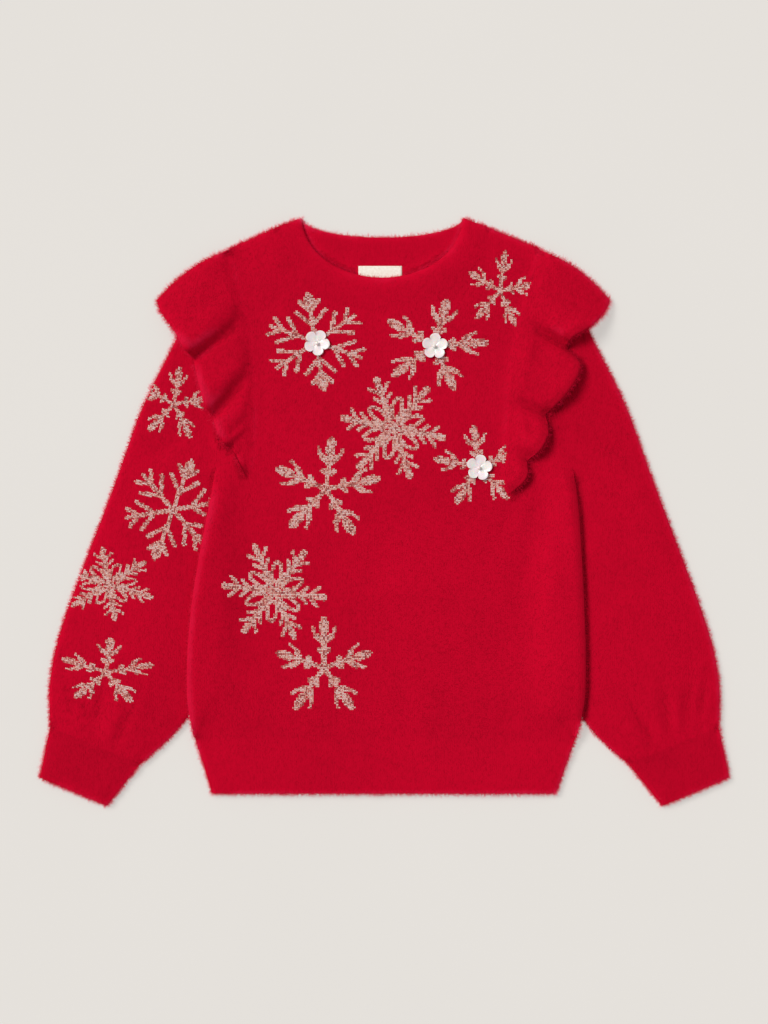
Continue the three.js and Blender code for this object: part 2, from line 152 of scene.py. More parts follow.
# Knitted snowflakes, in millimetres: reach is an arm's length up and down, stretch widens it, and turn is
# the first arm's angle. The knit's columns run at grain on a sleeve.
FLAKES = [
    {"kind": "fern", "on": "front_panel", "x": 8, "y": 77, "reach": 50, "stretch": 1.0, "turn": 109},
    {"kind": "fern", "on": "front_panel", "x": -101, "y": -73, "reach": 48, "stretch": 1.02, "turn": 113},
    {"kind": "branched", "on": "front_panel", "x": -63, "y": 156, "reach": 43, "stretch": 1.16, "turn": 98},
    {"kind": "plume", "on": "front_panel", "x": 45.5, "y": 152.5, "reach": 43, "stretch": 1.15, "turn": 76},
    {"kind": "plume", "on": "front_panel", "x": 106, "y": 203, "reach": 36, "stretch": 0.86, "turn": 81},
    {"kind": "plume", "on": "front_panel", "x": -53.5, "y": 21, "reach": 47, "stretch": 1.06, "turn": 84},
    {"kind": "plume", "on": "front_panel", "x": 86, "y": 41, "reach": 38, "stretch": 1.06, "turn": 96},
    {"kind": "plume", "on": "front_panel", "x": -55.5, "y": -143, "reach": 46, "stretch": 0.98, "turn": 90},
    {"kind": "plume", "on": "sleeve_right", "x": -193, "y": 99, "reach": 34, "stretch": 0.96, "turn": 81},
    {"kind": "branched", "on": "sleeve_right", "x": -194, "y": 2, "reach": 46, "stretch": 1.03, "turn": 70},
    {"kind": "fern", "on": "sleeve_right", "x": -253, "y": -66, "reach": 34, "stretch": 1.3, "turn": 98},
    {"kind": "plume", "on": "sleeve_right", "x": -255, "y": -147, "reach": 31, "stretch": 1.42, "turn": 85},
]
GRAIN = {"front_panel": 0.0, "sleeve_right": -14.0}

# The strokes of one arm, in shares of its reach: from and to as (along, aside), and half the stroke's
# width. Tips are for the arms that stand up and down, and loops are rings between two arms.
KINDS = {
    "plume": {
        "arms": 5,
        "strokes": [
            {"from": (0, 0), "to": (0.92, 0), "half": 0.046},
            {"from": (0.27, 0), "to": (0.36, 0.1), "half": 0.05},
            {"from": (0.5, 0), "to": (0.64, 0.15), "half": 0.06},
            {"from": (0.64, 0.17), "to": (0.8, 0.23), "half": 0.034},
            {"from": (0.74, 0), "to": (0.9, 0), "half": 0.09},
            {"from": (0.9, 0), "to": (0.98, 0), "half": 0.05},
        ],
        "tips": [],
        "loop": None,
    },
    "branched": {
        "arms": 6,
        "strokes": [
            {"from": (0, 0), "to": (0.9, 0), "half": 0.042},
            {"from": (0.36, 0), "to": (0.66, 0.27), "half": 0.042},
            {"from": (0.66, 0), "to": (0.88, 0.18), "half": 0.042},
        ],
        "tips": [
            {"from": (0.84, 0), "to": (0.93, 0), "half": 0.1},
            {"from": (0.93, 0), "to": (1.04, 0), "half": 0.04},
        ],
        "loop": None,
    },
    "fern": {
        "arms": 6,
        "strokes": [
            {"from": (0, 0), "to": (0.94, 0), "half": 0.048},
            {"from": (0.24, 0), "to": (0.34, 0.02), "half": 0.09},
            {"from": (0.46, 0), "to": (0.62, 0.15), "half": 0.036},
            {"from": (0.64, 0), "to": (0.82, 0.18), "half": 0.036},
            {"from": (0.82, 0), "to": (0.93, 0), "half": 0.066},
        ],
        "tips": [],
        "loop": {"centre": 0.37, "long": 0.19, "short": 0.085, "half": 0.036},
    },
}
FLAKE_HUB = 0.1
# A stitch in millimetres. Inset and overgrown are where stitches begin and pile ends, in shares of the reach.
STITCH = {
    "width": 1.75,
    "height": 1.4,
    "leg": 0.66,
    "rise": 0.3,
    "ground": 0.14,
    "inset": -0.003,
    "overgrown": -0.022,
    "room": 1.1,
    "clear": 1.3,
}

# The pile, in millimetres: one thin triangle a blade on the skin, and bent blades in the fringe at the rims
BLADE = {
    "width": 0.36,
    "combed": 1.8,
    "stray": 0.035,
    "raised": 0.04,
    "fringe_width": 0.17,
    "fringe_density": 2.6,
    "under_density": 0.14,
}
FRINGE = {"short": 1.3, "long": 5.4, "over_cloth": 0.4, "over_neck": 0.12, "shaggy": 1.2}
COVER = 6.5
CLEAR = 0.5
SEAM_REACH = 4.5
UPRIGHT = 0.62

# The skin's cells and steps in millimetres, then the reaches of its blends in cells
SKIN = {"step": 0.6, "joined": 2.8, "raise": 3.0, "half_x": 330, "half_y": 285, "inside_neck": 5.5}
CELLS = {
    "fill": 3,
    "blur": 2,
    "seam": 9,
    "soft": 5,
    "level": 12,
    "even": 10,
    "broad": 8,
    "cliff": 4,
    "brink": 3,
    "band": 9,
    "shade": 7,
    "neck": 6,
    "crest": 9,
}
# Painted light and shade: how far the tone is painted paler at each such place, and darker in painted shade
TONES = {
    "edge": 0.66,
    "crest": 0.16,
    "tufts": 0.09,
    "within": 0.14,
    "band": 0.5,
    "under": 0.06,
    "shade": 0.2,
}
# The way that the window's light travels over the surface
AWAY = (0.83, -0.55)
WINDOW = {"from": (-0.78, 0.52, 1.05), "strength": 2.6, "spread": 25}
RUFFLE_SEAM = {"reach": 9.0, "upper": -0.4, "lower": -1.6}
FLOWER = {"petals": 5, "radius": 11.9, "waist": 0.66, "cup": 2.3, "thickness": 0.8}


def linear(red, green, blue):
    """The scene-linear colour of an sRGB triple from 0 to 255."""
    shares = (value / 255 for value in (red, green, blue))
    return (*(s / 12.92 if s <= 0.04045 else ((s + 0.055) / 1.055) ** 2.4 for s in shares), 1.0)


# Materials


def add(tree, kind, inputs=None, **settings):
    """A new shader node with its settings, its inputs given as values or as the sockets that feed them."""
    node = tree.nodes.new(kind)
    for name, value in settings.items():
        setattr(node, name, value)
    for name, value in (inputs or {}).items():
        if isinstance(value, bpy.types.NodeSocket):
            tree.links.new(value, node.inputs[name])
        else:
            node.inputs[name].default_value = value
    return node


def ramp(tree, fac, stops):
    """A colour ramp over fac, through stops of (place, colour)."""
    node = add(tree, "ShaderNodeValToRGB", {"Fac": fac})
    elements = node.color_ramp.elements
    elements[0].position, elements[0].color = stops[0]
    elements[1].position, elements[1].color = stops[-1]
    for place, colour in stops[1:-1]:
        elements.new(place).color = colour
    return node.outputs["Color"]


def plus(tree, a, b, factor=1.0):
    """a + b * factor, on sockets."""
    node = add(tree, "ShaderNodeMath", {0: b, 1: factor, 2: a}, operation="MULTIPLY_ADD")
    return node.outputs[0]


def material(name, **sockets):
    """A material, its node tree and its shader, with plain values on the shader's own sockets."""
    made = bpy.data.materials.new(name)
    made.use_nodes = True
    shader = made.node_tree.nodes["Principled BSDF"]
    for socket, value in sockets.items():
        shader.inputs[socket.replace("_", " ")].default_value = value
    return made, made.node_tree, shader


def noise(tree, scale, detail=3.0):
    """Noise over the garment, from -0.5 to 0.5."""
    place = add(tree, "ShaderNodeTexCoord").outputs["Object"]
    texture = add(tree, "ShaderNodeTexNoise", {"Vector": place, "Scale": scale, "Detail": detail})
    return add(tree, "ShaderNodeMath", {0: texture.outputs["Fac"], 1: 0.5}, operation="SUBTRACT").outputs[0]


def cloud(tree, scale, detail=3.0):
    """The same noise from 0 to 1."""
    return add(tree, "ShaderNodeMath", {0: noise(tree, scale, detail), 1: 0.5}, operation="ADD").outputs[0]


def own_tone(tree, *noises):
    """The tone written on the mesh, with noises added, each given as its scale and its share."""
    # On the pile and the knit the written tone holds their painted light and shade
    tone = add(tree, "ShaderNodeAttribute", attribute_name="tone").outputs["Fac"]
    for scale, share in noises:
        tone = plus(tree, tone, noise(tree, scale), share)
    return tone


def paint(tree, shader, tone, stops):
    """The shader's colour, from the tone through the stops."""
    tree.links.new(ramp(tree, tone, stops), shader.inputs["Base Color"])


def relief(tree, shader, height, strength, distance):
    """The shader's fine relief."""
    bump = add(tree, "ShaderNodeBump", {"Height": height, "Strength": strength, "Distance": distance})
    tree.links.new(bump.outputs["Normal"], shader.inputs["Normal"])


# The pile's colours from the deepest root to the palest tip; the painted light and shade of its tone run
# along them too
REDS = [
    (0.0, linear(104, 0, 16)),
    (0.3, linear(160, 0, 29)),
    (0.6, linear(195, 0, 38)),
    (0.85, linear(212, 24, 64)),
    (1.0, linear(238, 108, 132)),
]
BASE_TONE = 0.53
PATCHES = ((9.0, 0.16), (55.0, 0.1))
PILE_SHEEN = {"Sheen_Weight": 0.15, "Sheen_Roughness": 0.5, "Sheen_Tint": linear(255, 50, 90)}


def pile_material():
    """Hair-fine red blades, darker at the root and paler at the tip, in soft uneven patches."""
    made, tree, shader = material("pile_blades", Roughness=0.8, Specular_IOR_Level=0.06, **PILE_SHEEN)
    paint(tree, shader, own_tone(tree, *PATCHES), REDS)
    return made


def knit_material():
    """The knit under the pile, in ridges along its columns, brushed until they blur."""
    made, tree, shader = material("pile_knit", Roughness=0.9, Specular_IOR_Level=0.06, **PILE_SHEEN)
    paint(tree, shader, own_tone(tree, *PATCHES, (700.0, 0.06)), REDS)
    place = add(tree, "ShaderNodeTexCoord").outputs["Object"]
    columns = add(
        tree,
        "ShaderNodeTexWave",
        {"Vector": place, "Scale": 180.0, "Distortion": 3.0, "Detail": 2.0, "Detail Scale": 2.0},
        bands_direction="X",
    )
    relief(tree, shader, plus(tree, columns.outputs["Fac"], noise(tree, 900.0), 1.5), 0.25, 0.0003)
    return made


def lurex_material():
    """Flat metallic yarn: most stitches beige gold, some dark, and the palest near white as painted glints.
    """
    made, tree, shader = material("lurex_yarn", Roughness=0.38, Metallic=0.05, Specular_IOR_Level=0.7)
    stops = [
        (0.0, linear(104, 50, 42)),
        (0.22, linear(196, 136, 118)),
        (0.45, linear(255, 216, 192)),
        (0.7, linear(255, 244, 226)),
        (1.0, linear(255, 255, 248)),
    ]
    paint(tree, shader, own_tone(tree, (1500.0, 0.5)), stops)
    relief(tree, shader, noise(tree, 2400.0), 0.5, 0.0002)
    return made


def ground_material():
    """The knit's mottled pink-red ground between the metallic stitches."""
    made, tree, shader = material("lurex_ground", Roughness=0.8, Specular_IOR_Level=0.2)
    paint(tree, shader, cloud(tree, 800.0), [(0.3, linear(164, 60, 66)), (0.7, linear(222, 112, 112))])
    return made


def pearl_material():
    """Pearl-white plastic whose clouding runs from cream to a cool pink and green."""
    made, tree, shader = material(
        "pearl_sequin",
        Roughness=0.36,
        Coat_Weight=0.45,
        Coat_Roughness=0.12,
        Specular_IOR_Level=0.5,
        Subsurface_Weight=0.15,
        Subsurface_Scale=0.002,
    )
    stops = [
        (0.3, linear(222, 222, 215)),
        (0.45, linear(237, 226, 222)),
        (0.6, linear(238, 219, 221)),
        (0.75, linear(226, 223, 226)),
    ]
    paint(tree, shader, cloud(tree, 110.0, 2.0), stops)
    relief(tree, shader, noise(tree, 300.0), 0.4, 0.0004)
    return made


def tape_material():
    """Cream woven satin tape."""
    made, tree, shader = material("label_tape", Roughness=0.55, Sheen_Weight=0.2)
    paint(tree, shader, cloud(tree, 500.0), [(0.3, linear(236, 222, 206)), (0.7, linear(250, 242, 230))])
    place = add(tree, "ShaderNodeTexCoord").outputs["Object"]
    threads = add(
        tree,
        "ShaderNodeTexWave",
        {"Vector": place, "Scale": 1100.0, "Distortion": 0.6},
        bands_direction="Y",
    )
    relief(tree, shader, threads.outputs["Fac"], 0.3, 0.0002)
    return made


# Meshes


def mesh_object(name, points, faces, made, tone=None, normals=None):
    """A piece from arrays of points and triangles, with a tone and a shading normal for each point."""
    mesh = bpy.data.meshes.new(name)
    mesh.vertices.add(len(points))
    mesh.vertices.foreach_set("co", np.asarray(points, np.float32).ravel())
    mesh.loops.add(3 * len(faces))
    mesh.loops.foreach_set("vertex_index", np.asarray(faces, np.int32).ravel())
    mesh.polygons.add(len(faces))
    mesh.polygons.foreach_set("loop_start", np.arange(len(faces), dtype=np.int32) * 3)
    mesh.polygons.foreach_set("use_smooth", np.ones(len(faces), bool))
    mesh.update(calc_edges=True)
    if tone is not None:
        values = mesh.attributes.new("tone", "FLOAT", "POINT")
        values.data.foreach_set("value", np.asarray(tone, np.float32))
    if normals is not None:
        mesh.normals_split_custom_set_from_vertices(normals.tolist())
    mesh.materials.append(made)
    piece = bpy.data.objects.new(name, mesh)
    bpy.context.scene.collection.objects.link(piece)
    return piece


def dress(piece, slot, *nodes):
    """The piece rides on the garment and stands for the nodes, which it hides; the slot is not used."""
    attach(piece, "root")
    if nodes:
        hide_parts(*nodes)


def triangles(piece):
    """The piece's triangles as an array of corners, [triangle][corner][axis]."""
    mesh = piece.data
    points = np.empty(3 * len(mesh.vertices), np.float32)
    mesh.vertices.foreach_get("co", points)
    mesh.calc_loop_triangles()
    corners = np.empty(3 * len(mesh.loop_triangles), np.int32)
    mesh.loop_triangles.foreach_get("vertices", corners)
    return points.reshape(-1, 3)[corners.reshape(-1, 3)].astype(float)


def tree_of(corners):
    """A search tree over an array of triangles."""
    faces = np.arange(3 * len(corners)).reshape(-1, 3)
    return BVHTree.FromPolygons(corners.reshape(-1, 3).tolist(), faces.tolist())


def unit(vectors):
    """The vectors at length one."""
    return vectors / np.maximum(np.linalg.norm(vectors, axis=-1, keepdims=True), 1e-12)


# The cloth


def crease_height(creases, x, y):
    """The height in metres that the creases and a slow swell add at points given in millimetres."""
    height = np.zeros_like(x)
    for middle_x, middle_y, degrees, length, width, rise in creases:
        turn = math.radians(degrees)
        dx, dy = x - middle_x, y - middle_y
        along = dx * math.cos(turn) + dy * math.sin(turn)
        across = dy * math.cos(turn) - dx * math.sin(turn)
        wander = 0.18 * width * np.sin(along / 9.0 + middle_x)
        fade = np.exp(-((along / length) ** 2) - (((across - wander) / width) ** 2))
        height += rise * fade
    swell = 0.22 * np.sin(x / 23 + 1.3 * np.sin(y / 41)) * np.sin(y / 31 + 1.1 * np.sin(x / 37))
    return (height + swell) * MM


def subdivided(node, levels, neighbours):
    """The node's mesh, welded and smoothed, its rims rounded except where they meet another piece."""
    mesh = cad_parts[node].data.copy()
    mesh.name = "cloth_" + node
    work = bmesh.new()
    work.from_mesh(mesh)
    bmesh.ops.remove_doubles(work, verts=work.verts, dist=0.00001)
    bmesh.ops.join_triangles(
        work,
        faces=work.faces,
        angle_face_threshold=math.radians(50),
        angle_shape_threshold=math.radians(70),
    )
    crease = work.edges.layers.float.new("crease_edge")
    for edge in work.edges:
        if len(edge.link_faces) == 2 and edge.calc_face_angle(0) > math.radians(45):
            edge[crease] = 0.55
    moves = {}
    for face in work.faces:
        if abs(face.normal.z) >= 0.6:
            continue
        start = face.calc_center_median() + face.normal * 0.02 * MM
        gap = neighbours.ray_cast(start, face.normal, SEAM_REACH * MM)[3]
        if gap is None:
            continue
        for edge in face.edges:
            edge[crease] = 1.0 if edge[crease] > 0 else 0.0
        for vertex in face.verts:
            moves.setdefault(vertex, []).append(face.normal * (gap + 0.02 * MM) * 0.49)
    for vertex, ways in moves.items():
        vertex.co += sum(ways, Vector()) / len(ways)
    work.to_mesh(mesh)
    work.free()
    piece = bpy.data.objects.new(mesh.name, mesh)
    bpy.context.scene.collection.objects.link(piece)
    piece.modifiers.new("smooth", "SUBSURF").levels = levels
    bpy.context.view_layer.update()
    piece.data = bpy.data.meshes.new_from_object(piece.evaluated_get(bpy.context.evaluated_depsgraph_get()))
    piece.modifiers.clear()
    piece.data.name = mesh.name
    return piece


def sunk_seam(points, upper, below):
    """The heights of a ruffle's points, sunk along its seam until its skin runs out of the cloth's."""
    heights = points[:, 2].copy()
    side = np.abs(points[:, 0])
    places = np.arange(points[:, 1].min(), points[:, 1].max() + 4 * MM, 4 * MM)
    bins = np.clip(((points[:, 1] - places[0]) / (4 * MM)).astype(int), 0, len(places) - 1)
    inner = np.full(len(places), 1.0)
    np.minimum.at(inner, bins, side)
    inner = np.interp(points[:, 1], places[inner < 1] + 2 * MM, inner[inner < 1])
    share = np.exp(-(((side - inner) / (RUFFLE_SEAM["reach"] * MM)) ** 2))
    for i in np.flatnonzero(share > 0.01):
        place = below.ray_cast(Vector((points[i, 0], points[i, 1], 0.08)), Vector(-UP))[0]
        if place is not None:
            target = place.z + RUFFLE_SEAM["upper" if upper[i] else "lower"] * MM
            heights[i] += min(0.0, target - heights[i]) * share[i]
    return heights


def shell(node, levels, neighbours, below, made):
    """The node's form as smooth cloth, with its creases in the skins that face up and down."""
    piece = subdivided(node, levels, neighbours)
    mesh = piece.data
    mesh.materials.clear()
    mesh.materials.append(made)
    points = np.empty(3 * len(mesh.vertices))
    mesh.vertices.foreach_get("co", points)
    points = points.reshape(-1, 3)
    inside = tree_of(triangles(piece))
    upper, lower = np.zeros(len(points), bool), np.zeros(len(points), bool)
    for i, vertex in enumerate(mesh.vertices):
        if vertex.normal.z > 0.3:
            start = vertex.co + vertex.normal * 0.2 * MM
            upper[i] = inside.ray_cast(start, Vector(UP), COVER * MM)[0] is None
        lower[i] = vertex.normal.z < -0.3 and vertex.co.z < 4 * MM and node in CREASES_BELOW
    points[upper, 2] += crease_height(CREASES.get(node, []), points[upper, 0] / MM, points[upper, 1] / MM)
    if lower.any():
        hollow = crease_height(CREASES_BELOW[node], points[lower, 0] / MM, points[lower, 1] / MM)
        points[lower, 2] += np.maximum(hollow, 0)
    if below:
        points[:, 2] = sunk_seam(points, upper, below)
    points[:, 2] = np.maximum(points[:, 2], CLEAR * MM)
    mesh.vertices.foreach_set("co", points.ravel())
    mesh.polygons.foreach_set("use_smooth", np.ones(len(mesh.polygons), bool))
    mesh.update()
    return piece


# Snowflakes


def distance_to(along, aside, stroke):
    """The distance of points to a stroke's middle line, less half its width."""
    start, end = np.array(stroke["from"], float), np.array(stroke["to"], float)
    way = end - start
    share = ((along - start[0]) * way[0] + (aside - start[1]) * way[1]) / (way @ way)
    share = np.clip(share, 0, 1)
    return np.hypot(along - start[0] - share * way[0], aside - start[1] - share * way[1]) - stroke["half"]


def flake_distance(flake, x, y):
    """How far points in millimetres lie outside the flake's drawing, in shares of its reach."""
    kind = KINDS[flake["kind"]]
    u = (x - flake["x"]) / flake["reach"] / flake["stretch"]
    v = (y - flake["y"]) / flake["reach"]
    radius = np.hypot(u, v)
    sector = 2 * math.pi / kind["arms"]
    turned = np.arctan2(v, u) - math.radians(flake["turn"])
    arm = np.round(turned / sector)
    angle = np.abs(turned - arm * sector)
    along, aside = radius * np.cos(angle), radius * np.sin(angle)
    distance = radius - FLAKE_HUB
    for stroke in kind["strokes"]:
        distance = np.minimum(distance, distance_to(along, aside, stroke))
    upright = np.mod(arm, kind["arms"] / 2) == 0
    for stroke in kind["tips"]:
        distance = np.where(upright, np.minimum(distance, distance_to(along, aside, stroke)), distance)
    if kind["loop"]:
        loop = kind["loop"]
        out = (radius * np.cos(sector / 2 - angle) - loop["centre"]) / loop["long"]
        off = radius * np.sin(sector / 2 - angle) / loop["short"]
        ring = np.hypot(out, off)
        slope = np.hypot(out / loop["long"], off / loop["short"]) / np.maximum(ring, 1e-6)
        distance = np.minimum(distance, np.abs(ring - 1) / np.maximum(slope, 1e-6) - loop["half"])
    return distance


def in_flakes(node, x, y):
    """Which points in millimetres lie on one of the node's snowflakes."""
    found = np.zeros(len(x), bool)
    for flake in FLAKES:
        if flake["on"] == node:
            found |= flake_distance(flake, x, y) < STITCH["overgrown"]
    return found


def in_the_open(place, cover):
    """Whether no other cloth lies over the place or within a stitch of it."""
    room = STITCH["room"]
    for dx, dy in ((0, 0), (room, 0), (-room, 0), (0, room), (0, -room)):
        start = place + Vector((dx, dy, STITCH["clear"])) * MM
        if cover.ray_cast(start, Vector(UP), COVER * MM)[0] is not None:
            return False
    return True


def knit_flake(index, flake, cloth, cover, made, ground):
    """The flake's stitches, each a V of two plump legs over a mottled ground, on the cloth's surface."""
    rng = np.random.default_rng(100 + index)
    grain = math.radians(GRAIN[flake["on"]])
    right = np.array([math.cos(grain), math.sin(grain), 0])
    upward = np.array([-math.sin(grain), math.cos(grain), 0])
    width, height = STITCH["width"] * MM, STITCH["height"] * MM
    half = int(1.1 * flake["reach"] * max(flake["stretch"], 1) / min(STITCH["width"], STITCH["height"]))
    columns, rows = np.meshgrid(np.arange(-half, half + 1), np.arange(-half, half + 1))
    centre = np.array([flake["x"], flake["y"], 0]) * MM
    cells = centre + columns.reshape(-1, 1) * width * right + rows.reshape(-1, 1) * height * upward
    cells = cells[flake_distance(flake, cells[:, 0] / MM, cells[:, 1] / MM) < STITCH["inset"]]
    seats, normals = [], []
    for cell in cells:
        place, normal = cloth.ray_cast(Vector((cell[0], cell[1], 0.08)), Vector(-UP))[:2]
        if place is None or normal.z < 0.5:
            continue
        if in_the_open(place, cover):
            seats.append(place)
            normals.append(normal)
    seats, normals = np.array(seats), np.array(normals)
    seats = seats + rng.normal(0, 0.07 * MM, seats.shape) * [1, 1, 0]
    side = unit(np.cross(upward, normals))
    up = np.cross(normals, side)
    leg, rise = STITCH["leg"] * MM / 2, STITCH["rise"] * MM
    points, tones = [], []
    pick = rng.random(len(seats))
    for mirror in (-1, 1):
        start = seats + up * (-0.6 * height) + side * (mirror * 0.1 * width) + normals * 0.1 * MM
        end = seats + up * (0.75 * height) + side * (mirror * 0.42 * width) + normals * 0.15 * MM
        middle = (start + end) / 2 + normals * rise * 0.5
        across = unit(np.cross(end - start, normals))
        bulge = normals * rise * 0.5
        ring = [middle + across * leg, middle + bulge, middle - across * leg, middle - bulge]
        points.append(np.stack([start, *ring, end], axis=1))
        # Each leg's tone at random from dark to near white; the palest are painted glints
        tones.append(np.clip(0.58 + 1.2 * (pick - 0.5) + rng.normal(0, 0.24, len(seats)), 0, 1))
    points = np.concatenate(points)
    tones = np.repeat(np.concatenate(tones), 6)
    sides = [(k, 1 + (k % 4)) for k in range(1, 5)]
    lozenge = np.array([(0, b, a) for a, b in sides] + [(5, a, b) for a, b in sides])
    faces = (np.arange(len(points)) * 6).reshape(-1, 1, 1) + lozenge
    yarn = mesh_object(f"flake_{index + 1}_yarn", points.reshape(-1, 3), faces.reshape(-1, 3), made, tones)
    corners = [(-0.55, -0.6), (0.55, -0.6), (0.55, 0.6), (-0.55, 0.6)]
    lifted = seats + normals * STITCH["ground"] * MM
    plates = np.stack([lifted + side * a * width + up * b * height for a, b in corners], axis=1)
    faces = (np.arange(len(plates)) * 4).reshape(-1, 1, 1) + np.array([(0, 1, 2), (0, 2, 3)])
    under = mesh_object(f"flake_{index + 1}_ground", plates.reshape(-1, 3), faces.reshape(-1, 3), ground)
    for piece in (yarn, under):
        dress(piece, "metallic_yarn")


# The pile


def spread(values, cells, pick):
    """The greatest or least of the values within a square of cells around each."""
    for axis in (0, 1):
        still = values
        for k in range(1, cells + 1):
            values = pick(values, pick(np.roll(still, k, axis), np.roll(still, -k, axis)))
    return values


def blurred(values, cells):
    """The values averaged over the cells around each, more heavily near it."""
    shares = np.exp(-(np.arange(-2 * cells, 2 * cells + 1) ** 2) / (2 * cells**2))
    for axis in (0, 1):
        values = sum(w * np.roll(values, k - 2 * cells, axis) for k, w in enumerate(shares / shares.sum()))
    return values


def averaged(values, inside, cells):
    """The values averaged over the cells around each that lie inside."""
    return blurred(values * inside, cells) / np.maximum(blurred(inside, cells), 0.02)


def skin_of(shells):
    """The garment's skin from above, in cells: whose it is, its height, its seams, what the pile does, and
    its painted light and shade.
    """
    names, corners = list(shells), [triangles(piece) for piece in shells.values()]
    owners = np.repeat(np.arange(len(corners)), [len(c) for c in corners])
    tree = tree_of(np.concatenate(corners))
    x = np.arange(-SKIN["half_x"], SKIN["half_x"], SKIN["step"]) * MM
    y = np.arange(-SKIN["half_y"], SKIN["half_y"], SKIN["step"]) * MM
    height, owner = np.zeros((len(y), len(x))), np.full((len(y), len(x)), -1)
    down = Vector(-UP)
    for j in range(len(y)):
        for i in range(len(x)):
            place, _, face, _ = tree.ray_cast(Vector((x[i], y[j], 0.06)), down)
            if place is not None:
                height[j, i] = place.z
                owner[j, i] = owners[face]
    filled = spread(spread(height, CELLS["fill"], np.maximum), CELLS["fill"], np.minimum)
    owner = np.where((owner < 0) & (filled > MM), spread(owner, CELLS["fill"], np.maximum), owner)
    inside = (owner >= 0).astype(float)
    low_owner = spread(owner, 1, np.minimum)
    step = spread(filled, 2, np.maximum) - spread(filled, 2, np.minimum)
    meets = (low_owner >= 0) & (low_owner != spread(owner, 1, np.maximum))
    joined = meets & (step < SKIN["joined"] * MM)
    overlap = meets & (step >= SKIN["joined"] * MM)
    seam = blurred(spread(joined.astype(float), CELLS["seam"], np.maximum), CELLS["soft"])
    level = spread(spread(filled, CELLS["level"], np.maximum), CELLS["level"], np.minimum)
    level = averaged(level, inside, CELLS["even"])
    filled = filled + seam * np.clip(level - filled, 0, SKIN["raise"] * MM)
    broad = averaged(filled, inside, CELLS["broad"])
    cliff = blurred(spread(overlap.astype(float), CELLS["cliff"], np.maximum), CELLS["brink"])
    seam = seam * np.clip(1 - 2 * cliff, 0, 1)
    filled = filled + seam * (broad - filled)
    neckline = overlap & spread(owner == names.index("neckband_front"), 1, np.maximum)
    fall_y, fall_x = np.gradient(-broad, SKIN["step"] * MM)
    away = (fall_x * AWAY[0] + fall_y * AWAY[1]) / np.maximum(np.hypot(fall_x, fall_y), 1e-9)
    # Painted shade: the cloth beside a cliff that falls away from the light is painted darker, except at the
    # neckline
    shadowed = (overlap & ~neckline) * np.clip(0.3 + away, 0, 1)
    shade = np.minimum(6 * blurred(spread(shadowed, 1, np.maximum), CELLS["shade"]), 1)
    # Painted light inside the neckline, where the neckband's step shades the cloth
    near_neck = np.minimum(3 * blurred(spread(neckline.astype(float), 1, np.maximum), CELLS["neck"]), 1)
    within = near_neck * (filled < SKIN["inside_neck"] * MM)
    # Painted light: paler near the silhouettes, at the foot of a cliff, and in a band beside it
    edge = blurred(1 - inside, CELLS["soft"])
    under = (spread(filled, 4, np.maximum) - filled > SKIN["joined"] * MM) & (inside > 0)
    brink = blurred(under.astype(float), CELLS["brink"])
    band = np.clip(blurred(under.astype(float), CELLS["band"]) - brink, 0, 1)
    over = ~under & (near_neck < 0.2)
    # The tone is painted paler along the seams where the ruffles join the cloth
    ruffles = np.isin(owner, [names.index("ruffle_right"), names.index("ruffle_left")])
    gathered = joined & spread(ruffles, 1, np.maximum)
    tufts = blurred(spread(gathered.astype(float), 2, np.maximum), 2)
    # Painted highlight on the crests, held back in the painted shade
    crest = (filled - averaged(filled, inside, CELLS["crest"])) / (2 * MM)
    crest = np.clip(crest, 0, 1) * (1 - shade) ** 2
    surface = averaged(filled, inside, CELLS["blur"])
    slope_y, slope_x = np.gradient(surface + seam * (broad - surface), SKIN["step"] * MM)
    steep = np.hypot(slope_x, slope_y)
    gentle = np.minimum(steep, 0.8) / np.maximum(steep, 1e-9)
    normal = unit(np.dstack([-slope_x * gentle, -slope_y * gentle, np.ones_like(steep)]))
    narrow = spread(joined.astype(float), 1, np.maximum)
    crowd = 1 + 0.3 * narrow + 1.2 * (filled - height > SKIN["raise"] * MM) + 1.2 * edge
    # Painted light: the rims that turn from the light are painted paler than those towards it
    lee = np.clip(0.7 + 0.4 * away, 0.35, 1)
    # The pile's painted light and shade, added up from the places above
    painted_light_and_shade = TONES["edge"] * edge * lee + TONES["crest"] * crest + TONES["tufts"] * tufts
    painted_light_and_shade = painted_light_and_shade + TONES["within"] * within + TONES["band"] * band * over * lee
    painted_light_and_shade += TONES["under"] * under - TONES["shade"] * shade * over
    push = np.clip(np.dstack(np.gradient(edge + brink)[::-1]) / 0.13, -1, 1)
    push = push * np.where(under, 0, 1)[:, :, None]
    return {
        "x": x,
        "y": y,
        "owner": owner,
        "height": filled,
        "normal": normal,
        "crowd": crowd,
        "painted_light_and_shade": painted_light_and_shade,
        "push": push,
        "seen": spread(height, 1, np.minimum),
        "seam": seam,
    }


